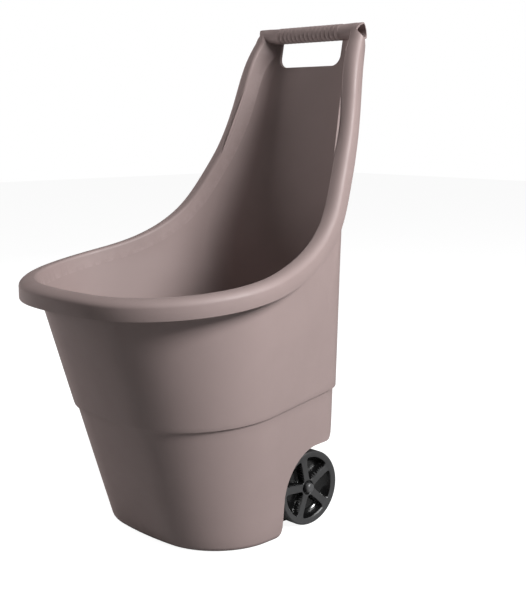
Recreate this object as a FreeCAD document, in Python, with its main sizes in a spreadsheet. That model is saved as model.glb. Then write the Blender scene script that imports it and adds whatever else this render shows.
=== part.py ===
import FreeCAD, Part
import math
import os
import Sketcher
from FreeCAD import Rotation, Vector

# Garden cart: a moulded tub with a tall back that ends in a handle bar, on two wheels.
# Millimetres, +Z up, +Y to the back (the handle side), +X to the right as seen from the
# front. The origin is on the floor under the middle of the cart.

os.makedirs("parts", exist_ok=True)
doc = FreeCAD.newDocument("garden_cart")
sheet = doc.addObject("Spreadsheet::Sheet", "dims")

DIMENSIONS = [
    # overall
    ("total_height", 840, "floor to the top of the handle bar"),
    ("wall", 3, "thickness of the moulding"),
    ("reach", 400, "length that cutting shapes run past the tub"),
    # plan outline of the tub's outer wall, floor level and rim level
    ("rim_level", 424, "height at which the rim outline is given"),
    ("front_low", 126, "centre line to the front wall at the floor"),
    ("front_rim", 255, "centre line to the front wall at the rim"),
    ("front_middle", 290, "the same at middle level, where it is only a guide"),
    ("front_top", 290, "the same at the top"),
    ("back_low", 188, "centre line to the back wall at the floor"),
    ("back_rim", 192, "the same at rim level"),
    ("back_middle", 232, "the same at middle level"),
    ("back_top", 272, "the same at the top of the handle"),
    ("middle_level", 630, "height of the middle outline"),
    ("front_half_low", 179, "half width where side and front would meet, at the floor"),
    ("front_half_rim", 281, "the same at rim level"),
    ("front_half_middle", 252, "the same at middle level"),
    ("front_half_top", 112, "the same at the top"),
    ("back_half_low", 156, "half width where side and back would meet, at the floor"),
    ("back_half_rim", 160, "the same at rim level"),
    ("back_half_middle", 130, "the same at middle level"),
    ("back_half_top", 107, "the same at the top"),
    ("front_round_low", 575, "radius of the bowed front, at the floor"),
    ("front_round_rim", 680, "the same at rim level"),
    ("front_round_middle", 700, "the same at middle level"),
    ("front_round_top", 700, "the same at the top"),
    ("corner_round_low", 118, "radius of the front corners, at the floor"),
    ("corner_round_rim", 178, "the same at rim level"),
    ("corner_round_middle", 160, "the same at middle level"),
    ("corner_round_top", 70, "the same at the top, where only the back is left"),
    ("back_round_low", 54, "radius of the back corners, at the floor"),
    ("back_round_rim", 54, "the same at rim level"),
    ("back_round_middle", 42, "the same at middle level"),
    ("back_round_top", 28, "the same at the top"),
    # the step round the body and the edge of the base
    ("step_level", 223, "height of the step under the middle of the tub"),
    ("step_slope", 4, "degrees that the step rises towards the back"),
    ("step_inset", 4.5, "how far the lower body stands in from the upper"),
    ("base_round", 9, "radius of the edge of the base"),
    # rolled rim
    ("rim_overhang", 26, "upper wall to the outside of the rim"),
    ("rim_overhang_middle", 21, "the same at middle level"),
    ("rim_overhang_top", 22.5, "the same where the rim meets the handle"),
    ("rim_depth", 30, "depth of the rim's skirt"),
    # handle
    ("bar_radius", 14, "outside radius of the handle tube"),
    ("bar_wall", 3, "wall of the handle tube"),
    ("bar_back", 263, "centre line to the axis of the handle tube"),
    ("bar_half", 122, "half length of the handle tube"),
    ("grip_half", 77, "half length of the ribbed grip"),
    ("grip_pitch", 10.3, "spacing of the grip's ribs"),
    ("grip_groove", 1.3, "depth between the grip's ribs"),
    ("hand_half", 75, "half width of the hand opening"),
    ("hand_low", 770, "height of the bottom of the hand opening"),
    ("hand_round", 18, "radius of the opening's lower corners"),
    ("hand_collar", 6, "depth of the collar round the hand opening"),
    # wheels, wells and axle
    ("wheel_radius", 64, "wheel radius"),
    ("wheel_width", 36, "wheel width"),
    ("wheel_out", 149, "centre line to the outer face of a wheel"),
    ("wheel_back", 118, "centre line back to the axle"),
    ("well_gap", 15, "wheel to the arch of its well"),
    ("well_side", 108, "centre line to the inner wall of a well"),
    ("recess_back", 139, "centre line to the lower back wall between the wheels"),
    ("well_flare", 20, "radius of the well's mouth where it meets base and back"),
    ("well_back", 147, "centre line back to where the well's roof turns up"),
    ("tunnel_half", 15, "half width of the axle tunnel"),
    ("tunnel_top", 82, "height of the axle tunnel"),
    ("axle_radius", 5, "axle radius"),
    ("axle_fit", 0.06, "running clearance round the axle"),
    ("boss_radius", 11, "radius of the axle bosses"),
    ("boss_end", 110, "centre line to the outer face of a boss"),
    ("washer_radius", 10, "washer radius"),
    ("washer_thick", 1.4, "washer thickness"),
    ("hub_radius", 13, "radius of the wheel's hub"),
    ("hub_inset", 5, "outer face of a wheel in to the outer end of its hub"),
    ("web_out", 1, "middle of a wheel out to the outer face of its web"),
    ("spoke_root", 15, "width of a spoke at the hub"),
    ("spoke_tip", 10, "width of a spoke at the rim"),
    ("side_play", 0.2, "gap between neighbours along the axle"),
    ("axle_half", 149, "half length of the axle"),
    ("cap_radius", 8.5, "radius of the axle caps"),
    ("cap_height", 6, "height of the axle caps"),
    ("cap_dome", 4, "radius of the edge of the caps' domes"),
]
for row, (alias, number, meaning) in enumerate(DIMENSIONS, start=1):
    sheet.set(f"A{row}", alias)
    sheet.set(f"B{row}", str(number))
    sheet.set(f"C{row}", meaning)
    sheet.setAlias(f"B{row}", alias)
doc.recompute()


def dim(alias):
    """Number held in a cell of the sheet."""
    return float(getattr(sheet, alias))


def bind(thing, **formulas):
    """Bind properties of an object to formulas over the sheet's cells."""
    for name, formula in formulas.items():
        thing.setExpression(name.replace("__", "."), formula)
    return thing


# ---------------------------------------------------------------- tub outlines

LEVELS = {"rim": dim("rim_level"), "middle": dim("middle_level"), "top": dim("total_height")}


def by_level(name, z):
    """Value of an outline size at height z: straight up to the rim, then a smooth curve to the top."""
    low = dim(name + "_low")
    rim = dim(name + "_rim")
    if z <= LEVELS["rim"]:
        return low + (rim - low) * z / LEVELS["rim"]
    middle = dim(name + "_middle")
    top = dim(name + "_top")
    rise = LEVELS["top"] - LEVELS["rim"]
    stations = [(LEVELS["rim"], rim, (rim - low) / LEVELS["rim"]),
                (LEVELS["middle"], middle, (top - rim) / rise),
                (LEVELS["top"], top, (top - middle) / (LEVELS["top"] - LEVELS["middle"]))]
    if z >= LEVELS["top"]:
        return top + stations[2][2] * (z - LEVELS["top"])
    first, second = stations[:2] if z < LEVELS["middle"] else stations[1:]
    span = second[0] - first[0]
    share = (z - first[0]) / span
    return (first[1] * (1 + 2 * share) * (1 - share) ** 2 + first[2] * span * share * (1 - share) ** 2
            + second[1] * share ** 2 * (3 - 2 * share) + second[2] * span * share ** 2 * (share - 1))


def on_arc(centre, radius, start, end, count):
    """Points along an arc, angles in radians, without its last point."""
    return [centre + Vector(math.cos(a), math.sin(a), 0) * radius
            for a in (start + (end - start) * i / count for i in range(count))]


def half_outline(z, grow):
    """Right half of the outer wall's plan outline, from the middle of the front to the back."""
    front = by_level("front", z) + grow
    back = by_level("back", z) + grow
    corner = by_level("corner_round", z) + grow
    rear = by_level("back_round", z) + grow
    bow = by_level("front_round", z) + grow
    fore = Vector(by_level("front_half", z) + grow, -front, 0)
    aft = Vector(by_level("back_half", z) + grow, back, 0)
    along = (aft - fore).normalize()
    inward = Vector(-along.y, along.x, 0)
    bow_centre = Vector(0, bow - front, 0)
    # centre of the corner arc, tangent to the side and to the bowed front
    offset = fore + inward * corner - bow_centre
    shift = offset.dot(along)
    travel = -shift - math.sqrt(shift ** 2 - offset.dot(offset) + (bow - corner) ** 2)
    corner_centre = fore + inward * corner + along * travel
    joint = corner_centre - bow_centre
    joint_angle = math.atan2(joint.y, joint.x)
    side_angle = math.atan2(-inward.y, -inward.x)
    # centre of the back corner arc, tangent to the side and to the back
    rear_line = aft + inward * rear
    rear_centre = rear_line + along * ((back - rear - rear_line.y) / along.y)
    side_start = corner_centre - inward * corner
    side_end = rear_centre - inward * rear
    points = on_arc(bow_centre, bow, -math.pi / 2, joint_angle, 5)
    points += on_arc(corner_centre, corner, joint_angle, side_angle, 6)
    points += [side_start + (side_end - side_start) * (i / 4) for i in range(4)]
    points += on_arc(rear_centre, rear, side_angle, math.pi / 2, 5)
    flat = Vector(rear_centre.x, back, 0)
    points += [flat * (1 - i / 3) + Vector(0, back, 0) * (i / 3) for i in range(4)]
    return [Vector(p.x, p.y, z) for p in points]


def closed_outline(z, grow):
    """Whole outline as points, from the middle of the back round by the right side."""
    right = half_outline(z, grow)
    left = [Vector(-p.x, p.y, p.z) for p in right[1:-1]]
    return right[::-1] + left


def spacing():
    """Share of the way round at which each outline point lies, the same at all levels."""
    points = closed_outline(LEVELS["rim"], 0)
    lengths = [(b - a).Length for a, b in zip(points, points[1:] + points[:1])]
    shares = [0]
    for length in lengths:
        shares.append(shares[-1] + length / sum(lengths))
    return shares


SPACING = spacing()


def rim_growth(z):
    """Overhang of the rolled rim at height z: widest at the front, least at middle level."""
    waist = dim("rim_overhang_middle")
    if z < LEVELS["middle"]:
        share = min(1, (LEVELS["middle"] - z) / (LEVELS["middle"] - LEVELS["rim"]))
        return waist + (dim("rim_overhang") - waist) * share ** 5
    share = min(1, (z - LEVELS["middle"]) / (LEVELS["top"] - LEVELS["middle"]))
    return waist + (dim("rim_overhang_top") - waist) * share * (2 - share)


def outline_loft(name, levels, grow, rim=False):
    """Solid through the outline at each level, grown outward (or inward if negative).

    The rim's own outline also stands out by the overhang and doesn't taper below the rim level.
    """
    wires = []
    for z in levels:
        source = max(z, LEVELS["rim"]) if rim else z
        growth = grow + rim_growth(z) if rim else grow
        points = [Vector(p.x, p.y, z) for p in closed_outline(source, growth)]
        curve = Part.BSplineCurve()
        curve.interpolate(Points=points, Parameters=SPACING, PeriodicFlag=True)
        wires.append(Part.Wire(curve.toShape()))
    feature = doc.addObject("Part::Feature", name)
    feature.Shape = Part.makeLoft(wires, True, False, False, 3)
    return feature


# ------------------------------------------------------- side profiles, cut across

def rim_stations():
    """Side view of the rim's top: low and level at the front, steep at the back."""
    bar = Vector(0, dim("bar_back"), dim("total_height") - dim("bar_radius"))
    return [
        Vector(0, -330, 420),
        Vector(0, -183, 431),
        Vector(0, -42, 451),
        Vector(0, 53, 480),
        Vector(0, 117, 526),
        Vector(0, 152, 578),
        Vector(0, 183, 638),
        Vector(0, 208, 715),
        Vector(0, 228, 785),
        bar + Vector(0, 1.5 - dim("bar_radius"), -2),
    ]


def rim_curve(depth):
    """Rim line moved square to itself by depth, into the tub's side."""
    line = Part.BSplineCurve()
    line.interpolate(rim_stations())
    if depth == 0:
        return line
    points = []
    steps = 24
    for i in range(steps + 1):
        u = line.FirstParameter + (line.LastParameter - line.FirstParameter) * i / steps
        tangent = Vector(line.tangent(u)[0])
        points.append(line.value(u) + Vector(0, tangent.z, -tangent.y) * depth)
    moved = Part.BSplineCurve()
    moved.interpolate(points)
    return moved


def face_of(edges):
    return Part.Face(Part.Wire(edges))


def across(name, face):
    """Run a side-view face across the whole width of the tub."""
    profile = doc.addObject("Part::Feature", name + "_profile")
    profile.Shape = face
    prism = doc.addObject("Part::Extrusion", name)
    prism.Base = profile
    prism.DirMode = "Custom"
    prism.Dir = Vector(1, 0, 0)
    prism.Solid = True
    bind(prism, LengthFwd="dims.reach", LengthRev="dims.reach")
    return prism


def boolean(kind, name, first, second):
    feature = doc.addObject(kind, name)
    feature.Base = first
    feature.Tool = second
    feature.Refine = False
    return feature


def cut(name, first, second):
    return boolean("Part::Cut", name, first, second)


def common(name, first, second):
    return boolean("Part::Common", name, first, second)


def fuse(name, *things):
    feature = doc.addObject("Part::MultiFuse", name)
    feature.Shapes = list(things)
    feature.Refine = False
    return feature


def box(name, x, y, z, length, width, height):
    """Block from formulas for its corner and its sides."""
    return bind(doc.addObject("Part::Box", name), Placement__Base__x=x, Placement__Base__y=y,
                Placement__Base__z=z, Length=length, Width=width, Height=height)


def rod(name, radius, half, y, z):
    """Cylinder along X, centred on x = 0."""
    cylinder = doc.addObject("Part::Cylinder", name)
    cylinder.Placement.Rotation = Rotation(Vector(0, 1, 0), 90)
    return bind(cylinder, Radius=radius, Height=f"2 * ({half})", Placement__Base__x=f"-({half})",
                Placement__Base__y=y, Placement__Base__z=z)


def line_through(points):
    return [Part.LineSegment(a, b).toShape() for a, b in zip(points, points[1:])]


def below_rim(name, depth):
    """Everything under the rim line, moved in by depth, and under the handle bar."""
    curve = rim_curve(depth)
    start = curve.value(curve.FirstParameter)
    end = curve.value(curve.LastParameter)
    top = dim("total_height") - dim("bar_radius")
    reach = dim("reach")
    corners = [end, Vector(0, dim("bar_back"), top), Vector(0, reach, top), Vector(0, reach, -reach),
               Vector(0, start.y, -reach), start]
    return across(name, face_of([curve.toShape()] + line_through(corners)))


def rim_band(name, upper, lower):
    """Strip between the rim line moved in by upper and by lower, up to the bar."""
    above = rim_curve(upper)
    below = rim_curve(lower)
    first = above.value(above.LastParameter)
    last = below.value(below.LastParameter)
    bar = Vector(0, dim("bar_back"), dim("total_height") - dim("bar_radius"))
    inset = upper + 1.5
    crown = bar + Vector(0, 0, dim("bar_radius") - inset)
    shoulder = bar + Vector(0, -1, 1).normalize() * (dim("bar_radius") - inset)
    edges = [above.toShape()]
    edges.append(Part.Arc(first, shoulder, crown).toShape())
    edges += line_through([crown, bar, last])
    edges.append(below.toShape())
    edges += line_through([below.value(below.FirstParameter), above.value(above.FirstParameter)])
    return across(name, face_of(edges))


def edges_where(thing, test):
    """Indices of the edges whose sample points all pass a test."""
    found = []
    for number, edge in enumerate(thing.Shape.Edges, start=1):
        if edge.Length < 1:
            continue
        first, last = edge.ParameterRange
        samples = [edge.valueAt(first + (last - first) * k / 8) for k in range(1, 8)]
        if all(test(p) for p in samples):
            found.append(number)
    return found


def rounded(name, thing, radius, test):
    """Fillet every edge of a thing that passes the test."""
    doc.recompute()
    feature = doc.addObject("Part::Fillet", name)
    feature.Base = thing
    feature.Edges = [(number, radius, radius) for number in edges_where(thing, test)]
    return feature


def step_line(z_shift):
    """Sloping line of the step in side view, as two far ends."""
    rise = math.tan(math.radians(dim("step_slope")))
    reach = dim("reach")
    middle = dim("step_level") + z_shift
    return Vector(0, -reach, middle - rise * reach), Vector(0, reach, middle + rise * reach)


def above_step(name, z_shift):
    a, b = step_line(z_shift)
    far = 3 * dim("reach")
    corners = [a, b, Vector(0, b.y, far), Vector(0, a.y, far), a]
    return across(name, face_of(line_through(corners)))


def below_step(name, z_shift):
    a, b = step_line(z_shift)
    corners = [a, b, Vector(0, b.y, 0), Vector(0, a.y, 0), a]
    return across(name, face_of(line_through(corners)))


# ------------------------------------------------------------------- tub solids

WALL = dim("wall")
UPPER = [150, 250, 340, 424, 500, 570, 640, 710, 780, 850]
LOWER = [0, 300]

upper_body = common("upper_body", outline_loft("upper_loft", UPPER, 0), below_rim("under_rim", 0))
upper_body = common("upper_body_trimmed", upper_body, above_step("over_step", 0))
lower_loft = outline_loft("lower_loft", LOWER, -dim("step_inset"))
lower_soft = rounded("lower_soft", lower_loft, dim("base_round"), lambda p: p.z < 0.01)
lower_body = common("lower_body", lower_soft, below_step("under_step", 12))

rim_loft = outline_loft("rim_loft", UPPER[1:], 0, rim=True)
rim_block = common("rim_block", rim_loft, rim_band("rim_strip", 0, dim("rim_depth")))
void_loft = outline_loft("void_loft", UPPER[1:], -WALL, rim=True)
rim_void = common("rim_void", void_loft, rim_band("void_strip", WALL, dim("rim_depth") + 20))
rim_shell = cut("rim_shell", rim_block, rim_void)


def well_profile(grow):
    """Side view of a wheel well: flared at the base and at the back, round over the wheel."""
    axle = Vector(0, dim("wheel_back"), dim("wheel_radius"))
    arch = dim("wheel_radius") + dim("well_gap") + grow
    flare = dim("well_flare") - grow
    deep = dim("reach")
    front = axle.y - arch
    roof = axle.z + arch
    back = dim("well_back")
    low = dim("well_flare") - flare
    foot = Vector(0, front - flare, low - grow)
    turn = math.sqrt(0.5) * flare
    edges = line_through([Vector(0, front - flare, -deep), foot])
    edges.append(Part.Arc(foot, Vector(0, front - flare + turn, low - grow + flare - turn),
                          Vector(0, front, low - grow + flare)).toShape())
    edges += line_through([Vector(0, front, low - grow + flare), Vector(0, front, axle.z)])
    edges.append(Part.Arc(Vector(0, front, axle.z),
                          axle + Vector(0, -arch, arch) * math.sqrt(0.5),
                          Vector(0, axle.y, roof)).toShape())
    edges += line_through([Vector(0, axle.y, roof), Vector(0, back, roof)])
    edges.append(Part.Arc(Vector(0, back, roof), Vector(0, back + turn, roof + flare - turn),
                          Vector(0, back + flare, roof + flare)).toShape())
    edges += line_through([Vector(0, back + flare, roof + flare), Vector(0, deep, roof + flare),
                           Vector(0, deep, -deep), Vector(0, front - flare, -deep)])
    return face_of(edges)


def carve_wheel_room(name, body, grow):
    """Cut both wheel wells and the axle tunnel from a body, grown by the wall inside the tub."""
    wells = across(name + "_wells", well_profile(grow))
    middle = box(name + "_middle", f"-(dims.well_side - {grow})", "-dims.reach", "-dims.reach",
                 f"2 * (dims.well_side - {grow})", f"dims.reach + dims.recess_back - {grow}",
                 "2 * dims.reach")
    sides = cut(name + "_sides", wells, middle)
    half = f"dims.well_side - dims.wall + {grow}"
    tunnel = box(name + "_tunnel", f"-({half})", f"dims.wheel_back - dims.tunnel_half - {grow}",
                 "-dims.wall", f"2 * ({half})", f"2 * (dims.tunnel_half + {grow})",
                 f"dims.tunnel_top + dims.wall + {grow}")
    return cut(name, cut(name + "_less_wells", body, sides), tunnel)


bar_height = "dims.total_height - dims.bar_radius"
lower_outside = carve_wheel_room("lower_outside", lower_body, 0)
collar_block = box("collar_block", "-(dims.hand_half + dims.wall)", "dims.back_middle",
                   "dims.hand_low - dims.wall", "2 * (dims.hand_half + dims.wall)",
                   "dims.bar_radius * 4",
                   "dims.total_height - dims.bar_radius - dims.hand_low + dims.wall")
collar = common("collar", outline_loft("collar_loft", UPPER, dim("hand_collar") - WALL), collar_block)
outside = fuse("outside", upper_body, lower_outside, rim_shell, collar)
hollow_upper = common("hollow_upper", outline_loft("hollow_upper_loft", UPPER, -WALL),
                      above_step("hollow_over_step", WALL))
hollow_loft = outline_loft("hollow_lower_loft", [WALL, 300], -dim("step_inset") - WALL)
hollow_soft = rounded("hollow_lower_soft", hollow_loft, dim("base_round") - WALL,
                      lambda p: p.z < WALL + 0.01)
hollow_lower = common("hollow_lower", hollow_soft, below_step("hollow_under_step", WALL + 10))
lower_hollow = carve_wheel_room("lower_hollow", hollow_lower, WALL)
shell = cut("shell", cut("shell_upper", outside, hollow_upper), lower_hollow)

# handle: a hollow bar across the top, ribbed for the hand, over an opening with a collar
bore = rod("bar_bore", "dims.bar_radius - dims.bar_wall", "dims.bar_half - dims.wall",
           "dims.bar_back", bar_height)


def grip_profile():
    """Half section of the bar: plain ends and rounded ribs between narrow grooves."""
    radius = dim("bar_radius")
    half = dim("bar_half")
    pitch = dim("grip_pitch")
    deep = dim("grip_groove")
    ribs = int(2 * dim("grip_half") / pitch)
    start = -ribs * pitch / 2
    edges = line_through([Vector(start, radius, 0), Vector(-half, radius, 0), Vector(-half, 0, 0),
                          Vector(half, 0, 0), Vector(half, radius, 0), Vector(-start, radius, 0)])
    for i in range(ribs):
        right = -start - i * pitch
        edges.append(Part.Arc(Vector(right, radius, 0), Vector(right - pitch * 0.2, radius - deep, 0),
                              Vector(right - pitch * 0.4, radius, 0)).toShape())
        edges += line_through([Vector(right - pitch * 0.4, radius, 0), Vector(right - pitch, radius, 0)])
    return face_of(edges)


bar_section = doc.addObject("Part::Feature", "bar_section")
bar_section.Shape = grip_profile()
bar = doc.addObject("Part::Revolution", "bar")
bar.Source = bar_section
bar.Axis = Vector(1, 0, 0)
bar.Solid = True
bind(bar, Placement__Base__y="dims.bar_back", Placement__Base__z=bar_height)

hand = box("hand", "-dims.hand_half", "dims.back_middle", "dims.hand_low", "2 * dims.hand_half",
           "dims.reach", "dims.total_height - 2 * dims.bar_radius - dims.hand_low + 2")
hand_soft = rounded("hand_soft", hand, dim("hand_round"),
                    lambda p: abs(abs(p.x) - dim("hand_half")) < 0.01
                    and abs(p.z - dim("hand_low")) < 0.01)


def axle_line_rod(name, radius, half):
    return rod(name, radius, half, "dims.wheel_back", "dims.wheel_radius")


bosses = cut("bosses", axle_line_rod("boss_rod", "dims.boss_radius", "dims.boss_end"),
             axle_line_rod("boss_gap", "2 * dims.boss_radius", "dims.well_side - dims.boss_radius"))
axle_hole = axle_line_rod("axle_hole", "dims.axle_radius + dims.axle_fit", "dims.reach")

mouths = cut("mouths", rod("mouth_rod", "dims.bar_radius - dims.bar_wall", "dims.bar_half + 1",
                           "dims.bar_back", bar_height),
             box("mouth_front", "-dims.reach", "dims.bar_back - dims.reach", bar_height + " - dims.reach",
                 "2 * dims.reach", "dims.reach", "2 * dims.reach"))
shell_open = cut("shell_open", fuse("shell_bosses", shell, bosses), fuse("openings", hand_soft, axle_hole))
shell_barred = fuse("shell_barred", shell_open, bar)
tub = cut("tub", shell_barred, fuse("bar_hollow", bore, mouths))
tub.Label = "tub"


# ------------------------------------------------------- axle, wheels, washers, caps

def origin_part(body, role):
    """Plane or axis of a body's own origin."""
    return next(f for f in body.Origin.OriginFeatures if f.Role == role)


def new_body(name, **place):
    body = doc.addObject("PartDesign::Body", name)
    body.Label = name
    return bind(body, **place)


def polygon_sketch(body, name, role, corners):
    """Closed polygon in a sketch; each corner is a pair of formulas held by two constraints."""
    sketch = body.newObject("Sketcher::SketchObject", name)
    sketch.AttachmentSupport = [(origin_part(body, role), "")]
    sketch.MapMode = "FlatFace"
    count = len(corners)
    start = [Vector(20 + math.cos(2 * math.pi * i / count), 20 + math.sin(2 * math.pi * i / count), 0)
             for i in range(count)]
    for i in range(count):
        sketch.addGeometry(Part.LineSegment(start[i], start[(i + 1) % count]))
    for i in range(count):
        sketch.addConstraint(Sketcher.Constraint("Coincident", i, 2, (i + 1) % count, 1))
    for i, (across_formula, up_formula) in enumerate(corners):
        for kind, formula in (("DistanceX", across_formula), ("DistanceY", up_formula)):
            number = sketch.addConstraint(Sketcher.Constraint(kind, -1, 1, i, 1, 10))
            sketch.setExpression(f"Constraints[{number}]", formula)
    return sketch


def circle_sketch(body, name, role, *radii):
    """Circles about the body's origin."""
    sketch = body.newObject("Sketcher::SketchObject", name)
    sketch.AttachmentSupport = [(origin_part(body, role), "")]
    sketch.MapMode = "FlatFace"
    for i, formula in enumerate(radii):
        sketch.addGeometry(Part.Circle(Vector(0, 0, 0), Vector(0, 0, 1), 5 + i))
        sketch.addConstraint(Sketcher.Constraint("Coincident", i, 3, -1, 1))
        number = sketch.addConstraint(Sketcher.Constraint("Radius", i, 5 + i))
        sketch.setExpression(f"Constraints[{number}]", formula)
    return sketch


def turned(body, name, corners):
    """Solid of revolution about the body's X axis; corners are (along the axis, radius)."""
    sketch = polygon_sketch(body, name + "_section", "XY_Plane", corners)
    feature = body.newObject("PartDesign::Revolution", name)
    feature.Profile = sketch
    feature.ReferenceAxis = (sketch, ["H_Axis"])
    feature.Angle = 360
    return feature


def soften(body, name, radius, test):
    """Fillet the edges of the body's last solid that pass the test."""
    doc.recompute()
    base = body.Tip
    feature = body.newObject("PartDesign::Fillet", name)
    feature.Base = (base, [f"Edge{number}" for number in edges_where(base, test)])
    return bind(feature, Radius=radius)


def spin_place(side):
    """Body placement on the axle line; side -1 turns the piece about Z to face the other way."""
    return {"Placement__Base__y": "dims.wheel_back", "Placement__Base__z": "dims.wheel_radius",
            "Placement__Rotation__Angle": "0" if side > 0 else "180"}


def wheel(name, side):
    """Wheel in one moulding: rim, dished web, five tapered spokes and a hub."""
    half = "dims.wheel_width / 2"
    body = new_body(name, Placement__Base__x=f"{side} * (dims.wheel_out - {half})", **spin_place(side))
    hub_out = f"{half} - dims.hub_inset"
    bore = "dims.axle_radius + dims.axle_fit"
    turned(body, name + "_disc", [
        (f"-{half} - 1", bore),
        (hub_out, bore),
        (hub_out, "dims.hub_radius - 4"),
        (f"{hub_out} - 2", "dims.hub_radius - 4"),
        (f"{hub_out} - 2", "dims.hub_radius - 1"),
        (hub_out, "dims.hub_radius - 1"),
        (hub_out, "dims.hub_radius + 1"),
        ("dims.web_out + 2", "dims.hub_radius + 2"),
        ("dims.web_out", "dims.hub_radius + 5"),
        ("dims.web_out", "dims.wheel_radius - 16"),
        ("dims.web_out + 4", "dims.wheel_radius - 8.5"),
        (half, "dims.wheel_radius - 5.5"),
        (half, "dims.wheel_radius - 2.5"),
        (f"{half} - 2.5", "dims.wheel_radius"),
        (f"-{half} + 2.5", "dims.wheel_radius"),
        (f"-{half}", "dims.wheel_radius - 2.5"),
        (f"-{half}", "dims.wheel_radius - 4.5"),
        ("dims.web_out - dims.wall", "dims.wheel_radius - 9"),
        ("dims.web_out - dims.wall", "dims.hub_radius + 1"),
        (f"-{half} - 1", "dims.hub_radius - 1"),
    ])
    spoke = polygon_sketch(body, name + "_spoke_plan", "YZ_Plane", [
        ("-dims.spoke_root / 2", "dims.hub_radius - 1"),
        ("dims.spoke_root / 2", "dims.hub_radius - 1"),
        ("dims.spoke_tip / 2", "dims.wheel_radius - 7"),
        ("-dims.spoke_tip / 2", "dims.wheel_radius - 7"),
    ])
    pad = body.newObject("PartDesign::Pad", name + "_spoke")
    pad.Profile = spoke
    bind(pad, Length=hub_out)
    ring = body.newObject("PartDesign::PolarPattern", name + "_spokes")
    ring.Originals = [pad]
    ring.Axis = (origin_part(body, "X_Axis"), [""])
    ring.Angle = 360
    ring.Occurrences = 5
    body.Tip = ring
    return body


def washer(name, side, inner_face):
    """Flat steel ring; inner_face is the distance of its nearer face from the centre line."""
    body = new_body(name, Placement__Base__x=f"{side} * ({inner_face})", **spin_place(side))
    sketch = circle_sketch(body, name + "_rings", "YZ_Plane", "dims.washer_radius",
                           "dims.axle_radius + dims.axle_fit")
    pad = body.newObject("PartDesign::Pad", name + "_ring")
    pad.Profile = sketch
    bind(pad, Length="dims.washer_thick")
    return body


def cap(name, side):
    """Domed push-on cap that holds a wheel on the axle."""
    body = new_body(name, Placement__Base__x=f"{side} * ({CAP_FACE})", **spin_place(side))
    turned(body, name + "_cup", [
        ("0.1", "dims.axle_radius"),
        ("dims.axle_half - (" + CAP_FACE + ")", "dims.axle_radius"),
        ("dims.axle_half - (" + CAP_FACE + ")", "0.001"),
        ("dims.cap_height", "0.001"),
        ("dims.cap_height", "dims.cap_radius"),
        ("0.1", "dims.cap_radius"),
    ])
    soften(body, name + "_dome", "dims.cap_dome",
           lambda p: p.x > dim("cap_height") - 0.01 and math.hypot(p.y, p.z) > dim("cap_radius") - 0.01)
    return body


INNER_WASHER = "dims.boss_end + dims.side_play"
HUB_FACE = "dims.wheel_out - dims.hub_inset"
OUTER_WASHER = HUB_FACE + " + dims.side_play"
CAP_FACE = OUTER_WASHER + " + dims.washer_thick"
SIDES = {"left": -1, "right": 1}

axle = new_body("axle", Placement__Base__y="dims.wheel_back", Placement__Base__z="dims.wheel_radius")
turned(axle, "axle_rod", [
    ("-dims.axle_half", "0.001"),
    ("dims.axle_half", "0.001"),
    ("dims.axle_half", "dims.axle_radius - 1"),
    ("dims.axle_half - 1", "dims.axle_radius"),
    ("-dims.axle_half + 1", "dims.axle_radius"),
    ("-dims.axle_half", "dims.axle_radius - 1"),
])
pieces = {"tub": tub, "axle": axle}
for word, side in SIDES.items():
    pieces["wheel_" + word] = wheel("wheel_" + word, side)
    pieces["washer_inner_" + word] = washer("washer_inner_" + word, side, INNER_WASHER)
    pieces["washer_outer_" + word] = washer("washer_outer_" + word, side, OUTER_WASHER)
    pieces["axle_cap_" + word] = cap("axle_cap_" + word, side)
doc.recompute()

# -------------------------------------------------------------------------- export

for thing in doc.Objects:
    if "Invalid" in thing.State or "Error" in thing.State:
        raise RuntimeError(f"{thing.Name} did not build: {thing.State}")
for node, piece in pieces.items():
    shape = piece.Shape
    if shape.isNull() or not shape.isValid() or len(shape.Solids) != 1:
        raise RuntimeError(f"{node} is not one sound solid")
    shape.exportStep(f"parts/{node}.step")
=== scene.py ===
import math
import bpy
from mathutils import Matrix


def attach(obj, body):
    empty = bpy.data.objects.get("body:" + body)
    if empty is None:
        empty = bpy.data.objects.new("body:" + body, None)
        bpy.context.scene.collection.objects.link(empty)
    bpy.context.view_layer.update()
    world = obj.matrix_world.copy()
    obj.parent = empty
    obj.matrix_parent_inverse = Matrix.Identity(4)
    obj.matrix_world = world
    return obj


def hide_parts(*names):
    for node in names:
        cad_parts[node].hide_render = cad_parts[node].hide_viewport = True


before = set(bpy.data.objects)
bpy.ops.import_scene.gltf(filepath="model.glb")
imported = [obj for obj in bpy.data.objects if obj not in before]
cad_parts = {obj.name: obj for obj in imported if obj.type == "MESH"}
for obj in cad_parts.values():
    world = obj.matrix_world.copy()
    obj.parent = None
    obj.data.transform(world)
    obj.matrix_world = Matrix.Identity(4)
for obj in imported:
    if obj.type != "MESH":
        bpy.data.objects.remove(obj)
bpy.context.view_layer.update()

from types import SimpleNamespace

import bmesh
import bpy
import numpy
from mathutils import Matrix, Vector

# Garden cart: a moulded tub with a ribbed handle bar, on two wheels. Lengths are in metres, the
# front faces -Y, +X is to the right as seen from the front, and the cart stands on z = 0.

MM = 0.001
FAR = 400 * MM  # beyond every part of the cart, for tools that cut right through

# ------------------------------------------------------------------ tub outline

HEIGHT = 840 * MM
WALL = 3 * MM
RIM_LEVEL = 424 * MM
MIDDLE_LEVEL = 630 * MM
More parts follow.
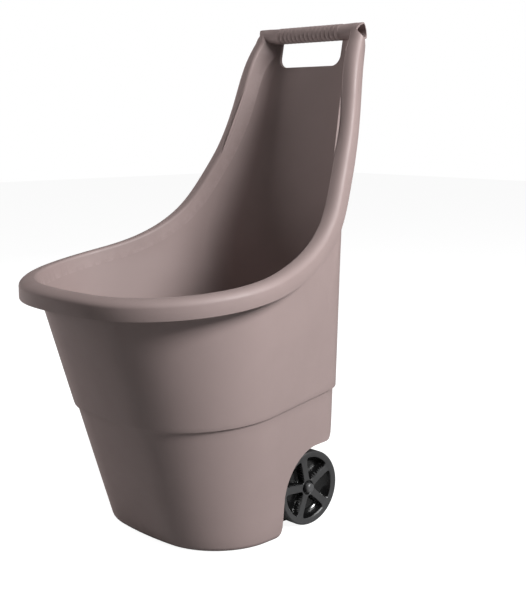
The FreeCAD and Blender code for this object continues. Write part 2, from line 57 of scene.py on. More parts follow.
# each size at the floor, the rim level, the middle level and the top
OUTLINE = {
    "front": (126, 255, 290, 290),
    "back": (188, 192, 232, 272),
    "front_half": (179, 281, 252, 112),
    "back_half": (156, 160, 130, 107),
    "bow": (575, 680, 700, 700),
    "corner": (118, 178, 160, 70),
    "rear": (54, 54, 42, 28),
}
STEP_LEVEL = 223 * MM
STEP_SLOPE = math.tan(math.radians(4))
STEP_INSET = 4.5 * MM
STEP_SOFT = 0.9 * MM  # size of the soft edges of the step
BASE_ROUND = 9 * MM
RIM_OVERHANG = 26 * MM
RIM_OVERHANG_MIDDLE = 21 * MM
RIM_OVERHANG_TOP = 22.5 * MM
OVERHANG_FADE = 5  # power by which the overhang fades from the rim level to the middle level
RIM_DEPTH = 30 * MM
RIM_OUTER_ROUND = 11 * MM
ROLL = 0.75  # share of the overhang over which the rim's top rolls down
RIM_INNER_ROUND = 5 * MM
RIM_LEG = 26 * MM  # how far the rim reaches down over the wall's edge
SKIN = 0.15 * MM  # how far a piece laid on another stands proud of it
BAR_RADIUS = 14 * MM
BAR_BORE = 11 * MM
BAR_BACK = 263 * MM
BAR_HEIGHT = HEIGHT - BAR_RADIUS
BAR_CENTRE = (0, BAR_BACK, BAR_HEIGHT)
BAR_SEGMENTS = 56
BAR_HALF = 127 * MM  # to the middle of each slanting end
MOUTH_LEAN = math.tan(math.radians(32))  # slope of the tube's ends, which face outward and back
MOUTH_TILT = 0.2  # slope by which they also face a little upward
BAR_WRAP = math.radians(100)  # how far the rim's end wraps over the bar, from the bar's front
GRIP_RIBS = 15
GRIP_PITCH = 10.3 * MM
GRIP_GROOVE = 0.75 * MM
GRIP_GROOVE_SHARE = 0.14  # width of a groove, as a share of the pitch
HAND_HALF = 75 * MM
HAND_LOW = 770 * MM
HAND_ROUND = 18 * MM
WHEEL_RADIUS = 64 * MM
AXLE_BACK = 118 * MM
AXLE_HEIGHT = WHEEL_RADIUS
AXLE_CENTRE = (0, AXLE_BACK, AXLE_HEIGHT)
WELL_SIDE = 108 * MM
WELL_GAP = 15 * MM  # between the wheel and the round of its well
WELL_FLARE = 20 * MM
WELL_BACK = 147 * MM  # where the well's roof turns up
RECESS_BACK = 139 * MM  # lower back wall between the wells
TUNNEL_HALF = 15 * MM
TUNNEL_TOP = 82 * MM


def by_level(name, z):
    """Outline size at height z: straight up to the rim, then a smooth curve to the top."""
    low, rim, middle, top = (number * MM for number in OUTLINE[name])
    if z <= RIM_LEVEL:
        return low + (rim - low) * z / RIM_LEVEL
    stations = [(RIM_LEVEL, rim, (rim - low) / RIM_LEVEL),
                (MIDDLE_LEVEL, middle, (top - rim) / (HEIGHT - RIM_LEVEL)),
                (HEIGHT, top, (top - middle) / (HEIGHT - MIDDLE_LEVEL))]
    if z >= HEIGHT:
        return top + stations[2][2] * (z - HEIGHT)
    first, second = stations[:2] if z < MIDDLE_LEVEL else stations[1:]
    span = second[0] - first[0]
    share = (z - first[0]) / span
    return (first[1] * (1 + 2 * share) * (1 - share) ** 2 + first[2] * span * share * (1 - share) ** 2
            + second[1] * share ** 2 * (3 - 2 * share) + second[2] * span * share ** 2 * (share - 1))


def outline(z, grow):
    """Arcs and side line of the right half of the tub's outline at height z, grown outward."""
    front = by_level("front", z) + grow
    back = by_level("back", z) + grow
    corner = by_level("corner", z) + grow
    rear = by_level("rear", z) + grow
    bow = by_level("bow", z) + grow
    fore = Vector((by_level("front_half", z) + grow, -front))
    aft = Vector((by_level("back_half", z) + grow, back))
    along = (aft - fore).normalized()
    inward = Vector((-along.y, along.x))
    bow_centre = Vector((0, bow - front))
    offset = fore + inward * corner - bow_centre
    shift = offset.dot(along)
    travel = -shift - math.sqrt(shift ** 2 - offset.dot(offset) + (bow - corner) ** 2)
    corner_centre = fore + inward * corner + along * travel
    joint = corner_centre - bow_centre
    rear_line = aft + inward * rear
    rear_centre = rear_line + along * ((back - rear - rear_line.y) / along.y)
    return SimpleNamespace(
        back=back, bow=bow, corner=corner, rear=rear, bow_centre=bow_centre,
        corner_centre=corner_centre, rear_centre=rear_centre,
        joint_angle=math.atan2(joint.y, joint.x), side_angle=math.atan2(-inward.y, -inward.x),
        side_start=corner_centre - inward * corner, side_end=rear_centre - inward * rear)


def wall_point(place, z, grow):
    """Point on the right half: place is (stretch, share), stretches run bow, corner, side, rear, back."""
    stretch, share = place
    o = outline(z, grow)

    def arc(centre, radius, start, end):
        angle = start + (end - start) * share
        return centre.x + radius * math.cos(angle), centre.y + radius * math.sin(angle), z

    if stretch == 0:
        return arc(o.bow_centre, o.bow, -math.pi / 2, o.joint_angle)
    if stretch == 1:
        return arc(o.corner_centre, o.corner, o.joint_angle, o.side_angle)
    if stretch == 2:
        side = o.side_start.lerp(o.side_end, share)
        return side.x, side.y, z
    if stretch == 3:
        return arc(o.rear_centre, o.rear, o.side_angle, math.pi / 2)
    return o.rear_centre.x * (1 - share), o.back, z


def wall_x(y, z, grow):
    """Half width of the outline at a given y."""
    o = outline(z, grow)
    if y < o.side_start.y:
        return o.corner_centre.x + math.sqrt(max(0, o.corner ** 2 - (y - o.corner_centre.y) ** 2))
    if y < o.side_end.y:
        share = (y - o.side_start.y) / (o.side_end.y - o.side_start.y)
        return o.side_start.x + (o.side_end.x - o.side_start.x) * share
    reach = min(y - o.rear_centre.y, o.rear)
    return o.rear_centre.x + math.sqrt(o.rear ** 2 - reach ** 2)


# --------------------------------------------------------------------- rim line

# side view (y, z) of the rim's upper edge, from beyond the front to the handle bar
RIM_STATIONS = [(-330, 420), (-183, 431), (-42, 451), (53, 480), (117, 526), (152, 578),
                (183, 638), (208, 715), (228, 785), (249.1, 824)]


def smooth_line(stations, count):
    """Evenly spaced points and unit directions of the natural spline through some stations."""
    knots = numpy.array(stations) * MM
    steps = numpy.linalg.norm(numpy.diff(knots, axis=0), axis=1)
    at = numpy.concatenate([[0], numpy.cumsum(steps)])
    system = numpy.eye(len(at))
    right = numpy.zeros(knots.shape)
    for i in range(1, len(at) - 1):
        system[i, i - 1:i + 2] = steps[i - 1], 2 * (steps[i - 1] + steps[i]), steps[i]
        right[i] = 6 * ((knots[i + 1] - knots[i]) / steps[i] - (knots[i] - knots[i - 1]) / steps[i - 1])
    bend = numpy.linalg.solve(system, right)
    points = []
    for along in numpy.linspace(0, at[-1], count):
        i = min(int(numpy.searchsorted(at, along, side="right")) - 1, len(steps) - 1)
        b = (along - at[i]) / steps[i]
        a = 1 - b
        points.append(a * knots[i] + b * knots[i + 1]
                      + steps[i] ** 2 / 6 * ((a ** 3 - a) * bend[i] + (b ** 3 - b) * bend[i + 1]))
    points = numpy.array(points)
    directions = numpy.gradient(points, axis=0)
    directions /= numpy.linalg.norm(directions, axis=1)[:, None]
    return points, directions


RIM_POINTS, RIM_DIRECTIONS = smooth_line(RIM_STATIONS, 400)
RIM_STRIDE = 5  # every fifth point of the line makes a station of the rim


def rim_height(y, depth):
    """Height on the line that lies a given depth inside the rim line, at a given y."""
    if y > RIM_POINTS[-1, 0]:
        return math.inf
    z = numpy.interp(y, RIM_POINTS[:, 0], RIM_POINTS[:, 1])
    level = numpy.interp(y, RIM_POINTS[:, 0], RIM_DIRECTIONS[:, 0])
    return z - depth / level


def overhang(z):
    """Overhang of the rim at height z: widest at the front, least at middle level."""
    if z < MIDDLE_LEVEL:
        share = min(1, (MIDDLE_LEVEL - z) / (MIDDLE_LEVEL - RIM_LEVEL))
        return RIM_OVERHANG_MIDDLE + (RIM_OVERHANG - RIM_OVERHANG_MIDDLE) * share ** OVERHANG_FADE
    share = min(1, (z - MIDDLE_LEVEL) / (HEIGHT - MIDDLE_LEVEL))
    return RIM_OVERHANG_MIDDLE + (RIM_OVERHANG_TOP - RIM_OVERHANG_MIDDLE) * share * (2 - share)


# ----------------------------------------------------------------- mesh helpers

SHARP = math.radians(35)  # edges sharper than this are not smoothed
WELD = 1e-6


def new_piece(name, points, faces):
    """Object from points and faces, with outward normals and smooth shading between sharp edges."""
    mesh = bpy.data.meshes.new(name)
    mesh.from_pydata([tuple(p) for p in points], [], faces)
    piece = bpy.data.objects.new(name, mesh)
    bpy.context.scene.collection.objects.link(piece)
    clean(piece)
    return piece


def clean(piece):
    """Weld the mesh, point its normals outward and shade it smooth between sharp edges."""
    work = bmesh.new()
    work.from_mesh(piece.data)
    bmesh.ops.remove_doubles(work, verts=work.verts, dist=WELD)
    bmesh.ops.recalc_face_normals(work, faces=work.faces)
    work.to_mesh(piece.data)
    work.free()
    piece.data.shade_smooth()
    piece.data.set_sharp_from_angle(angle=SHARP)


def cut(target, tool):
    """Cut a tool object out of the target, and drop the tool."""
    modifier = target.modifiers.new("cut", "BOOLEAN")
    modifier.operation = "DIFFERENCE"
    modifier.solver = "EXACT"
    modifier.object = tool
    bpy.context.view_layer.update()
    graph = bpy.context.evaluated_depsgraph_get()
    result = bpy.data.meshes.new_from_object(target.evaluated_get(graph))
    target.modifiers.clear()
    target.data = result
    bpy.data.objects.remove(tool, do_unlink=True)


def tube_faces(rows, columns, closed=False):
    """Quads of a stack of rings; closed adds a face over the first and the last ring."""
    faces = []
    for i in range(rows - 1):
        for j in range(columns):
            k = (j + 1) % columns
            faces.append((i * columns + j, i * columns + k, (i + 1) * columns + k, (i + 1) * columns + j))
    if closed:
        faces.append(tuple(range(columns)))
        faces.append(tuple(range((rows - 1) * columns, rows * columns)))
    return faces


def prism(name, section, start, end):
    """Solid run along X from a closed (y, z) section."""
    points = [(x, y, z) for x in (start, end) for y, z in section]
    return new_piece(name, points, tube_faces(2, len(section), closed=True))


def turned(name, section, centre, segments, out=1, spread=None):
    """Ring about an X axis from a closed (along, radius) section; spread shifts its points along."""
    points = []
    for along, radius in section:
        for j in range(segments):
            angle = 2 * math.pi * j / segments
            shift = spread(along, radius, angle) if spread else along
            points.append((centre[0] + out * shift, centre[1] + radius * math.sin(angle),
                           centre[2] + radius * math.cos(angle)))
    faces = tube_faces(len(section), segments)
    last = (len(section) - 1) * segments
    faces += [(last + j, last + (j + 1) % segments, (j + 1) % segments, j) for j in range(segments)]
    return new_piece(name, points, faces)


def quarter(count):
    """Sine and cosine over a quarter turn."""
    return [(math.sin(a), math.cos(a)) for a in (math.pi / 2 * k / count for k in range(count + 1))]


# -------------------------------------------------------------------- tub shell

# places round the right half of the outline, with the number of columns on each stretch
STRETCH_COLUMNS = (10, 16, 14, 12, 8)
PLACES = [(stretch, k / count) for stretch, count in enumerate(STRETCH_COLUMNS) for k in range(count)]
PLACES.append((4, 1))
LOWER_ROWS = 12
UPPER_ROWS = 30
SEARCH_FROM = 380 * MM  # under the whole rim line


def mirrored(ring):
    """Whole ring from its right half, front middle to back middle."""
    return ring + [(-x, y, z) for x, y, z in ring[-2:0:-1]]


def step_height(place, grow):
    """Height of the sloping step at a place of the outline."""
    z = STEP_LEVEL
    for _ in range(4):
        z = STEP_LEVEL + STEP_SLOPE * wall_point(place, z, grow)[1]
    return z


def wall_top(place, grow, depth, limit):
    """Height at which the wall, going up from a place, comes within depth of the rim line."""
    low, high = SEARCH_FROM, limit
    if high < rim_height(wall_point(place, high, grow)[1], depth):
        return high
    for _ in range(30):
        z = (low + high) / 2
        if z < rim_height(wall_point(place, z, grow)[1], depth):
            low = z
        else:
            high = z
    return low


def vessel(name, grow, floor, base_round, step_shift, depth, limit, crown):
    """Closed solid in the form of the tub, standing on floor; crown is the middle of its lid."""
    inset = grow - STEP_INSET
    columns = []
    for place in PLACES:
        step = step_height(place, grow) + step_shift
        top = wall_top(place, grow, depth, limit)
        heights = [(floor + base_round * (1 - c), inset - base_round * (1 - s)) for s, c in quarter(6)]
        first = floor + base_round
        last = step - STEP_SOFT
        heights += [(first + (last - first) * k / LOWER_ROWS, inset) for k in range(1, LOWER_ROWS + 1)]
        heights += [(step - 0.3 * STEP_SOFT, inset + 0.2 * STEP_SOFT), (step, inset + STEP_SOFT),
                    (step, grow - STEP_SOFT), (step + 0.3 * STEP_SOFT, grow - 0.2 * STEP_SOFT)]
        first = step + STEP_SOFT
        heights += [(first + (top - first) * k / UPPER_ROWS, grow) for k in range(UPPER_ROWS + 1)]
        columns.append([wall_point(place, z, g) for z, g in heights])
    rows = [mirrored([column[i] for column in columns]) for i in range(len(columns[0]))]
    width = len(rows[0])
    points = [p for row in rows for p in row]
    faces = tube_faces(len(rows), width)
    low = len(points)
    points += [(0, 0, floor), (0, 0, crown)]
    last = (len(rows) - 1) * width
    for j in range(width):
        k = (j + 1) % width
        faces += [(low, k, j), (low + 1, last + j, last + k)]
    return new_piece(name, points, faces)


def well_section(grow):
    """Side view of a wheel well, flared at the base and behind, round over the wheel."""
    arch = WHEEL_RADIUS + WELL_GAP + grow
    flare = WELL_FLARE - grow
    front = AXLE_BACK - arch
    roof = AXLE_HEIGHT + arch
    section = [(FAR, -FAR), (front - flare, -FAR)]
    section += [(front - flare + flare * s, flare * (1 - c)) for s, c in quarter(8)]
    section += [(AXLE_BACK - arch * c, AXLE_HEIGHT + arch * s) for s, c in quarter(24)]
    section += [(WELL_BACK + flare * s, roof + flare * (1 - c)) for s, c in quarter(8)]
    section.append((FAR, roof + flare))
    return section


def carve_wheel_room(body, grow):
    """Cut both wheel wells, the recess between them and the axle tunnel."""
    wells = prism("wells", well_section(grow), -FAR, FAR)
    back = RECESS_BACK - grow
    between = [(-FAR, -FAR), (back, -FAR), (back, FAR), (-FAR, FAR)]
    cut(wells, prism("between", between, grow - WELL_SIDE, WELL_SIDE - grow))
    cut(body, wells)
    half = TUNNEL_HALF + grow
    top = TUNNEL_TOP + grow
    tunnel = [(AXLE_BACK - half, -WALL), (AXLE_BACK + half, -WALL),
              (AXLE_BACK + half, top), (AXLE_BACK - half, top)]
    cut(body, prism("tunnel", tunnel, WALL - grow - WELL_SIDE, WELL_SIDE - WALL + grow))


def hand_path():
    """The hand opening's edge, seen from behind: (x, z) with its outward direction."""
    top = BAR_HEIGHT - 8 * MM  # inside the bar
    path = [(-HAND_HALF, top, -1, 0)]
    middle = HAND_HALF - HAND_ROUND
    path += [(-middle - HAND_ROUND * c, HAND_LOW + HAND_ROUND * (1 - s), -c, -s) for s, c in quarter(10)]
    path += [(middle * k / 6, HAND_LOW, 0, -1) for k in range(-5, 6)]
    path += [(middle + HAND_ROUND * s, HAND_LOW + HAND_ROUND * (1 - c), s, -c) for s, c in quarter(10)]
    path.append((HAND_HALF, top, 1, 0))
    return path


def tub_shell():
    """Walls and floor of the tub, with its wheel room and hand opening."""
    shell = vessel("tub_shell", grow=0, floor=0, base_round=BASE_ROUND, step_shift=0,
                   depth=7.5 * MM, limit=822 * MM, crown=560 * MM)
    carve_wheel_room(shell, 0)
    hollow = vessel("hollow", grow=-WALL, floor=WALL, base_round=BASE_ROUND - WALL, step_shift=WALL,
                    depth=-12 * MM, limit=846 * MM, crown=620 * MM)
    carve_wheel_room(hollow, WALL)
    cut(shell, hollow)
    path = hand_path()
    before_panel = 232 * MM
    points = [(x, y, z) for y in (before_panel, FAR) for x, z, _, _ in path]
    cut(shell, new_piece("opening", points, tube_faces(2, len(path), closed=True)))
    clean(shell)
    return shell


# --------------------------------------------------------------------- tub rim

def rim_section(depth):
    """Closed section of the rolled rim: (share of overhang, distance outward, depth)."""
    leg = min(RIM_LEG, depth)
    lip = 0.7 * MM
    inner = RIM_INNER_ROUND
    outer = RIM_OUTER_ROUND
    under = outer - WALL
    section = [(0, -WALL - SKIN, leg)]
    section += [(0, -WALL - SKIN + inner * (1 - c), inner * (1 - s)) for s, c in quarter(6)]
    section += [(1 - ROLL * (1 - s), 0, outer * (1 - c)) for s, c in quarter(12)]
    section += [(1, 0, depth - lip), (1, -0.3 * lip, depth - 0.3 * lip), (1, -lip, depth),
                (1, lip - WALL, depth), (1, -WALL, depth - lip)]
    section += [(1 - ROLL * (1 - s), -WALL * s, outer - under * c) for s, c in quarter(8)[::-1]]
    section += [(0, SKIN + WALL, WALL), (0, SKIN, 2 * WALL), (0, SKIN, leg)]
    return section


def rim_ring():
    """Stations of the rim's right half, from the front middle up the wing and over the bar."""
    stations = []
    for stretch, count in ((0, 14), (1, 24)):
        for k in range(count):
            station = []
            for share, out, depth in rim_section(RIM_DEPTH):
                z = RIM_LEVEL
                for _ in range(5):
                    source = max(z, RIM_LEVEL) if share else z
                    grow = share * overhang(source) + out
                    x, y, _ = wall_point((stretch, k / count), source, grow)
                    z = rim_height(y, depth)
                station.append((x, y, z))
            stations.append(station)
    side_begins = wall_point((2, 0), RIM_LEVEL + 25 * MM, 0)[1]
    for point, direction in list(zip(RIM_POINTS, RIM_DIRECTIONS))[::RIM_STRIDE]:
        if point[0] > side_begins:
            side = [(point[0] + direction[1] * d, point[1] - direction[0] * d, share, out)
                    for share, out, d in rim_section(RIM_DEPTH)]
            stations.append(rim_station(side))
    wrap_stations = 8
    wrap_depth = BAR_RADIUS - 1.5 * MM
    for k in range(1, wrap_stations + 1):
        angle = math.pi - BAR_WRAP * k / wrap_stations
        y, z = math.cos(angle), math.sin(angle)
        side = [(BAR_BACK + (BAR_RADIUS - d) * y, BAR_HEIGHT + (BAR_RADIUS - d) * z, share, out)
                for share, out, d in rim_section(wrap_depth)]
        stations.append(rim_station(side))
    return stations


def rim_station(side):
    """Section points from their side view: (y, z, share of overhang, distance outward)."""
    station = []
    for y, z, share, out in side:
        source = max(z, RIM_LEVEL) if share else z
        station.append((wall_x(y, source, share * overhang(source) + out), y, z))
    return station


def tub_rim():
    """Rolled rim from wing to wing, cut clear of the handle tube's bore."""
    right = rim_ring()
    stations = [[(-x, y, z) for x, y, z in station] for station in right[:0:-1]] + right
    rim = new_piece("tub_rim", [p for station in stations for p in station],
                    tube_faces(len(stations), len(right[0]), closed=True))
    core_radius = BAR_RADIUS - 0.6 * MM
    axis_radius = 0.1 * MM
    core = [(-FAR, axis_radius), (-FAR, core_radius), (FAR, core_radius), (FAR, axis_radius)]
    cut(rim, turned("bar_core", core, BAR_CENTRE, BAR_SEGMENTS))
    clean(rim)
    return rim


# ------------------------------------------------------------------ tub handle

def grip_section():
    """Closed section of the handle tube: ribs with narrow grooves in the middle."""
    rib_points = 12
    half = GRIP_RIBS * GRIP_PITCH / 2
    plain = BAR_RADIUS - SKIN
    edge = 0.8 * MM
    end = [(BAR_HALF - 24 * MM, plain), (BAR_HALF - edge, plain), (BAR_HALF - edge / 4, plain - edge / 4),
           (BAR_HALF, plain - edge), (BAR_HALF, BAR_BORE + 0.5 * MM), (BAR_HALF - 0.5 * MM, BAR_BORE)]
    section = [(-along, radius) for along, radius in end[::-1]]
    for k in range(GRIP_RIBS * rib_points + 1):
        phase = (k / rib_points + 0.5) % 1 - 0.5
        groove = GRIP_GROOVE * math.exp(-(phase / GRIP_GROOVE_SHARE) ** 2)
        section.append((-half + GRIP_PITCH * k / rib_points, BAR_RADIUS - groove))
    return section + end


def mouth_slant(along, radius, angle):
    """Shift the end faces of the handle tube on to their slanting planes."""
    if abs(along) < BAR_HALF - 1 * MM:
        return along
    slant = radius * (MOUTH_LEAN * math.sin(angle) + MOUTH_TILT * math.cos(angle))
    return along - math.copysign(slant, along)


def collar_section():
    """Closed section of the collar: (distance from the opening's edge, distance behind the inner face)."""
    corner = 1.2 * MM
    length, width = 6.2 * MM, 3.1 * MM
    sink = 0.1 * MM
    section = []
    for turn, (s0, y0) in enumerate(((width - corner, length - corner), (width - corner, corner),
                                     (corner, corner), (corner, length - corner))):
        for k in range(5):
            angle = math.pi / 2 * (1 - turn - k / 4)
            section.append((s0 + corner * math.cos(angle) - sink, y0 + corner * math.sin(angle) - sink))
    return section


def handle_collar():
    """Raised edge round the sides and the foot of the hand opening."""
    path = hand_path()
    section = collar_section()
    points = []
    for x, z, out_x, out_z in path:
        for away, behind in section:
            height = z + out_z * away
            points.append((x + out_x * away, by_level("back", height) - WALL + behind, height))
    return new_piece("handle_collar", points, tube_faces(len(path), len(section), closed=True))


# ------------------------------------------------------------ wheels and bosses

WHEEL_MIDDLE = 131 * MM
WHEEL_SEGMENTS = 360
SPOKES = 5
SPOKE_LEAN = math.radians(-13)
SPOKE_HALF = 8.4 * MM
SPOKE_FLANK = 2.4 * MM
SPOKE_FLARE_START = 45 * MM  # radius at which a spoke begins to widen into the rim band
SPOKE_FLARE_RUN = 8 * MM
SPOKE_FLARE = 2.5 * MM  # how much wider it is after that run, on each side
POCKET = (14.2 * MM, 53 * MM)  # between these radii the pockets lie, painted near-black as painted shade
# the hub groove between these radii is painted near-black too, as painted shade
HUB_GROOVE = (9.2 * MM, 12 * MM)
# outer face from the bore outward: radius, height in a pocket, height on a spoke
WHEEL_FACE = [
    (5.2, 12.9, 12.9), (8.9, 12.9, 12.9), (9.3, 11.3, 11.3), (11.7, 11.1, 11.1), (12.1, 12.8, 12.8),
    (12.7, 13.4, 13.4), (13.8, 13.6, 13.6), (14.6, 12.8, 13.6), (15.1, 9, 13.6), (15.6, 5.5, 13.6),
    (16.4, 3.2, 13.6), (17.6, 2.0, 13.6), (20, 1.2, 13.7), (24, 1, 13.8), (29, 1, 13.9), (34, 1, 14.1),
    (38, 1.1, 14.3), (42, 1.6, 14.5), (45, 2.8, 14.7), (47.5, 4.8, 14.8), (49.5, 7.6, 15.0),
    (51, 10.6, 15.2), (52.1, 13.4, 15.5), (52.8, 15.2, 15.8), (53.8, 16.1, 16.2), (55.5, 16.6, 16.6),
    (58, 17.2, 17.2), (60, 17.8, 17.8), (61, 18, 18), (61.9, 17.9, 17.9), (62.7, 17.3, 17.3),
    (63.4, 16.3, 16.3), (63.85, 15.2, 15.2), (64, 14, 14),
]
# (radius, along) over the tread from the outer face inward, then down the inner face to the bore
WHEEL_TREAD = [(64, 7.5), (63.3, 6.9), (63.3, 6.1), (64, 5.5), (64, 0), (64, -5.5), (63.3, -6.1),
               (63.3, -6.9), (64, -7.5), (64, -14)]
WHEEL_BACK = [(63.6, -16), (62.4, -17.4), (61, -18), (59.5, -18), (58.6, -17.2), (57, -12), (55, -4),
              (52, -2.4), (20, -2), (14.5, -2.4), (13, -5), (12, -18.4), (11.4, -19), (5.2, -19)]


def spoke_share(radius, angle):
    """One on a spoke, nought in a pocket, and in between on the spoke's flank."""
    sector = 2 * math.pi / SPOKES
    off = (angle - SPOKE_LEAN + sector / 2) % sector - sector / 2
    flare = max(0, (radius - SPOKE_FLARE_START) / SPOKE_FLARE_RUN) ** 2 * SPOKE_FLARE
    share = min(1, max(0, (SPOKE_HALF + flare - abs(radius * math.sin(off))) / SPOKE_FLANK))
    return share * share * (3 - 2 * share)


def wheel(word, side):
    """Whole wheel in one mesh: hub, dished pockets, spokes, rim band, tread and inner face."""
    faces = {radius * MM: (pocket * MM, spoke * MM) for radius, pocket, spoke in WHEEL_FACE}
    section = [(pocket * MM, radius * MM) for radius, pocket, spoke in WHEEL_FACE]
    section += [(along * MM, radius * MM) for radius, along in WHEEL_TREAD + WHEEL_BACK]

    def spread(along, radius, angle):
        if radius in faces and along == faces[radius][0]:
            pocket, spoke = faces[radius]
            return pocket + (spoke - pocket) * spoke_share(radius, angle)
        return along

    piece = turned("wheel_" + word + "_moulding", section, (side * WHEEL_MIDDLE, AXLE_BACK, AXLE_HEIGHT),
                   WHEEL_SEGMENTS, side, spread)
    # pocket and hub-groove faces of the outer face take the second material: painted shade, near-black in
    # these recesses
    for face in piece.data.polygons:
        along = side * face.center.x - WHEEL_MIDDLE
        radius = math.hypot(face.center.y - AXLE_BACK, face.center.z - AXLE_HEIGHT)
        angle = math.atan2(face.center.y - AXLE_BACK, face.center.z - AXLE_HEIGHT)
        pocket = POCKET[0] < radius < POCKET[1] and spoke_share(radius, angle) < 0.8
        groove = HUB_GROOVE[0] < radius < HUB_GROOVE[1]
        face.material_index = 1 if along > 0 and (pocket or groove) else 0
    return piece


# (along, radius) of the boss that stands out from the well's wall
BOSS_SECTION = [(104.8, 5.1), (104.8, 11), (109.2, 11), (110, 10.2), (110, 5.1)]
BOSS_SEGMENTS = 48


def boss(word, side):
    """Round boss that the axle comes out of, at the wall of one well."""
    section = [(along * MM, radius * MM) for along, radius in BOSS_SECTION]
    return turned("axle_boss_" + word, section, AXLE_CENTRE, BOSS_SEGMENTS, side)


# ----------------------------------------------------------------------- pieces

shell = tub_shell()
rim = tub_rim()
bar = turned("handle_bar", grip_section(), BAR_CENTRE, BAR_SEGMENTS, spread=mouth_slant)
collar = handle_collar()
wheels = {}
bosses = []
for word, side in (("left", -1), ("right", 1)):
    wheels[word] = wheel(word, side)
    bosses.append(boss(word, side))


# -------------------------------------------------------------------- materials

COAT_ROUGHNESS = 0.12
GRAIN_DEPTH = 0.25 * MM


def moulded(name, colour, rough, mottle, grain, relief, worn, metal=0.0, coat=0.0, gloss=0.5):
    """Material with broad mottling, fine grain in roughness and relief, and paler worn edges."""
    material = bpy.data.materials.new(name)
    material.use_nodes = True
    nodes = material.node_tree.nodes
    links = material.node_tree.links
    shader = nodes["Principled BSDF"]
    shader.inputs["Metallic"].default_value = metal
    shader.inputs["Coat Weight"].default_value = coat
    shader.inputs["Specular IOR Level"].default_value = gloss
    shader.inputs["Coat Roughness"].default_value = COAT_ROUGHNESS
    place = nodes.new("ShaderNodeTexCoord")

    def noise(scale, detail, roughness=0.55):
        node = nodes.new("ShaderNodeTexNoise")
        node.inputs["Scale"].default_value = scale
        node.inputs["Detail"].default_value = detail
        node.inputs["Roughness"].default_value = roughness
        links.new(place.outputs["Object"], node.inputs["Vector"])
        return node.outputs["Fac"]

    def ranged(source, low, high, out_low, out_high):
        node = nodes.new("ShaderNodeMapRange")
        numbers = {"From Min": low, "From Max": high, "To Min": out_low, "To Max": out_high}
        for socket, number in numbers.items():
            node.inputs[socket].default_value = number
        links.new(source, node.inputs["Value"])
        return node.outputs["Result"]

    def mixed(factor, first, second):
        node = nodes.new("ShaderNodeMix")
        node.data_type = "RGBA"
        links.new(factor, node.inputs["Factor"])
        first_colour, second_colour, result = node.inputs[6], node.inputs[7], node.outputs[2]
        for socket, source in ((first_colour, first), (second_colour, second)):
            if isinstance(source, tuple):
                socket.default_value = (*source, 1)
            else:
                links.new(source, socket)
        return result

    def times(first, second):
        node = nodes.new("ShaderNodeMath")
        node.operation = "MULTIPLY"
        links.new(first, node.inputs[0])
        links.new(second, node.inputs[1])
        return node.outputs["Value"]

    shade = tuple(c * (1 - mottle) for c in colour)
    light = tuple(min(1, c * (1 + mottle)) for c in colour)
    broad = noise(7, 4)
    fine = noise(grain, 3)
    base = mixed(ranged(broad, 0.35, 0.65, 0, 1), shade, light)
    base = mixed(ranged(fine, 0.3, 0.75, 0.0, 0.35), base, shade)
    form = nodes.new("ShaderNodeNewGeometry")
    edge = ranged(form.outputs["Pointiness"], 0.53, 0.62, 0, worn)
    patchy = ranged(noise(60, 5, 0.7), 0.42, 0.62, 0.15, 1)
    pale = tuple(min(1, c * 1.5 + 0.03) for c in colour)
    links.new(mixed(times(edge, patchy), base, pale), shader.inputs["Base Color"])
    links.new(ranged(noise(24, 6, 0.6), 0.3, 0.7, rough - 0.06, rough + 0.07), shader.inputs["Roughness"])
    bump = nodes.new("ShaderNodeBump")
    bump.inputs["Strength"].default_value = relief
    bump.inputs["Distance"].default_value = GRAIN_DEPTH
    links.new(fine, bump.inputs["Height"])
    links.new(bump.outputs["Normal"], shader.inputs["Normal"])
    return material


tub_plastic = moulded("tub_plastic", (0.30, 0.231, 0.222), rough=0.52, mottle=0.035, grain=1400,
                      relief=0.35, worn=0.35, gloss=0.35)
wheel_plastic = moulded("wheel_plastic", (0.042, 0.042, 0.043), rough=0.36, mottle=0.12, grain=1100,
                        relief=0.15, worn=0.3)
# glossy plastic for the wheel's pockets and hub groove: the gloss is the plastic's own, the near-black
# colour is painted shade
wheel_gloss_painted_shade = moulded("wheel_gloss_painted_shade", (0.004, 0.004, 0.0042), rough=0.16, mottle=0.2, grain=700,
                      relief=0.1, worn=0.05, coat=0.3)
cap_plastic = moulded("cap_plastic", (0.075, 0.075, 0.077), rough=0.27, mottle=0.08, grain=900,
                      relief=0.08, worn=0.25)
axle_steel = moulded("axle_steel", (0.05, 0.05, 0.052), rough=0.38, mottle=0.1, grain=800,
                     relief=0.12, worn=0.3, metal=1.0)


def dress(piece, slot, *materials):
    """Give a piece its materials; the slot argument is not used."""
    for material in materials:
        piece.data.materials.append(material)


for piece in [shell, rim, bar, collar] + bosses:
    dress(piece, "tub_plastic", tub_plastic)
    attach(piece, "cart")
    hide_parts("tub")
for word, piece in wheels.items():
    # the second material paints the pockets and hub groove near-black as painted shade
    dress(piece, "wheel_plastic", wheel_plastic, wheel_gloss_painted_shade)
    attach(piece, word + "_wheel")
    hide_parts("wheel_" + word)

# CAD nodes that keep their shape, by the start of their names; the first that fits counts
CAD_FINISH = {"axle_cap": cap_plastic, "washer": axle_steel, "axle": axle_steel}
for node, cad_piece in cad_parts.items():
    finishes = [finish for start, finish in CAD_FINISH.items() if node.startswith(start)]
    if not finishes:
        continue
    if not cad_piece.material_slots:
        cad_piece.data.materials.append(finishes[0])
    for material_slot in cad_piece.material_slots:
        material_slot.material = finishes[0]


# --------------------------------------------------------- floor, light, camera

scene = bpy.context.scene
scene.view_settings.view_transform = "Standard"
WHITE = (1, 1, 1, 1)
FLOOR_GREY = (0.3, 0.3, 0.3, 1)
FLOOR_HALF = 9  # metres


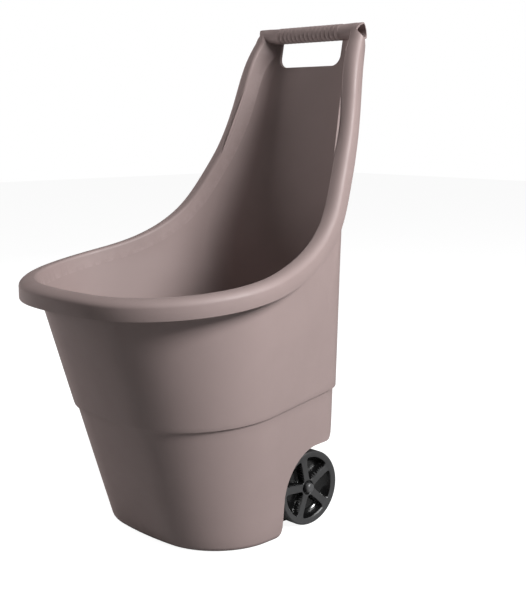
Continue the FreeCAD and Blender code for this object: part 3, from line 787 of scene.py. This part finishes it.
def by_camera(tree, lighting, seen, output):
    """One shader for what a surface lights, another for how it shows to the camera."""
    path = tree.nodes.new("ShaderNodeLightPath")
    choice = tree.nodes.new("ShaderNodeMixShader")
    tree.links.new(path.outputs["Is Camera Ray"], choice.inputs["Fac"])
    tree.links.new(lighting, choice.inputs[1])
    tree.links.new(seen, choice.inputs[2])
    tree.links.new(choice.outputs["Shader"], output.inputs["Surface"])


floor_mesh = bpy.data.meshes.new("floor")
floor_corners = [(-1, -1), (1, -1), (1, 1), (-1, 1)]
floor_mesh.from_pydata([(FLOOR_HALF * x, FLOOR_HALF * y, 0) for x, y in floor_corners], [], [(0, 1, 2, 3)])
floor = bpy.data.objects.new("floor", floor_mesh)
scene.collection.objects.link(floor)
floor_paint = bpy.data.materials.new("floor_paint")
floor_paint.use_nodes = True
floor_shader = floor_paint.node_tree.nodes["Principled BSDF"]
floor_shader.inputs["Base Color"].default_value = FLOOR_GREY
floor_shader.inputs["Roughness"].default_value = 0.9
floor_shader.inputs["Emission Color"].default_value = WHITE
floor_shader.inputs["Emission Strength"].default_value = 0.93
floor_bounce = floor_paint.node_tree.nodes.new("ShaderNodeBsdfDiffuse")
floor_bounce.inputs["Color"].default_value = FLOOR_GREY
by_camera(floor_paint.node_tree, floor_bounce.outputs["BSDF"], floor_shader.outputs["BSDF"],
          floor_paint.node_tree.nodes["Material Output"])
floor.data.materials.append(floor_paint)

world = bpy.data.worlds.new("studio")
scene.world = world
world.use_nodes = True
sky = world.node_tree.nodes["Background"]
sky.inputs["Color"].default_value = WHITE
sky.inputs["Strength"].default_value = 0.06
backdrop = world.node_tree.nodes.new("ShaderNodeBackground")
backdrop.inputs["Color"].default_value = WHITE
backdrop.inputs["Strength"].default_value = 1
by_camera(world.node_tree, sky.outputs["Background"], backdrop.outputs["Background"],
          world.node_tree.nodes["World Output"])


def softbox(name, position, target, size, power):
    """Rectangular area light that faces a target."""
    light = bpy.data.lights.new(name, "AREA")
    light.shape = "RECTANGLE"
    light.size, light.size_y = size
    light.energy = power
    lamp = bpy.data.objects.new(name, light)
    lamp.location = position
    lamp.rotation_euler = (Vector(target) - Vector(position)).to_track_quat("-Z", "Y").to_euler()
    scene.collection.objects.link(lamp)
    return lamp


softbox("key", (2.6, 0.4, 2.05), (0, 0, 0.4), (1.0, 1.0), 142)
fill = softbox("fill", (-2.8, -0.7, 0.6), (0, 0, 0.35), (1.4, 1.4), 88)
fill.visible_glossy = False  # no mirror image of it on the front
softbox("top", (0.2, -0.2, 3.0), (0, 0, 0), (1.6, 1.6), 5)
shine = softbox("shine", (1.1, 0.3, 2.4), (0.1, 0, 0.1), (1.6, 1.0), 30)
shine.visible_diffuse = False  # only its gleam on the rim and the wheel

CAMERA_PLACE = (1.4139, -1.1653, 0.6841)
CAMERA_FORWARD = (-0.7254, 0.6686, -0.1633)

camera_data = bpy.data.cameras.new("camera")
camera_data.sensor_fit = "VERTICAL"
camera_data.sensor_height = 36
camera_data.lens = 66.65
camera_data.shift_x = 0.0067
camera = bpy.data.objects.new("camera", camera_data)
forward = Vector(CAMERA_FORWARD).normalized()
right = forward.cross(Vector((0, 0, 1))).normalized()
up = right.cross(forward)
turn = Matrix((right, up, -forward)).transposed()
camera.matrix_world = Matrix.Translation(CAMERA_PLACE) @ turn.to_4x4()
scene.collection.objects.link(camera)
scene.camera = camera
